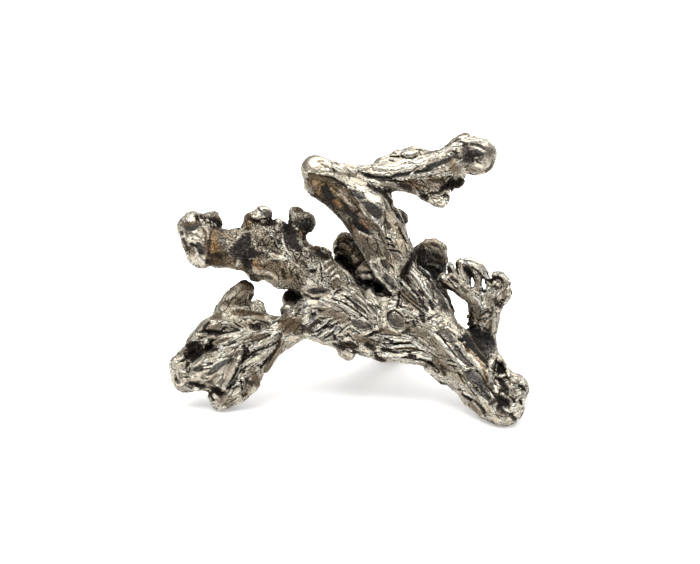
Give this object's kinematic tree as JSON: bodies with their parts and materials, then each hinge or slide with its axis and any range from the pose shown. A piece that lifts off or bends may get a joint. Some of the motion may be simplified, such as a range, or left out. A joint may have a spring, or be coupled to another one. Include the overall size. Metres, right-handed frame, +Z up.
{
  "type": "native silver crystal",
  "caption": "Branching sprig of natural silver metal: a ridged hub with knobby arms and stubby legs, standing free on its feet, as a mineral specimen.",
  "frame": {"origin": "bottom centre of the whole sprig's box, on the plane that its feet rest on", "axes": "+Z up as it stands, +X along its longest extent from the knobby left branch towards the right foot, -Y the front"},
  "size_m": [0.0455, 0.0258, 0.0326],
  "materials": {
    "silver_bright": "natural native silver, satin, ridged and pitted",
    "silver_tarnished": "natural native silver with grey to charcoal tarnish",
    "silver_stained": "natural native silver with brown and ochre staining"
  },
  "bodies": {
    "root": {"hub": "silver_bright", "mast": "silver_stained", "top_arm": "silver_bright", "left_branch": "silver_tarnished", "lower_left_frond": "silver_bright", "right_leg": "silver_bright", "right_frond": "silver_tarnished", "rear_leg": "silver_tarnished", "rear_knob": "silver_tarnished", "rear_spur": "silver_stained"}
  },
  "joints": []
}
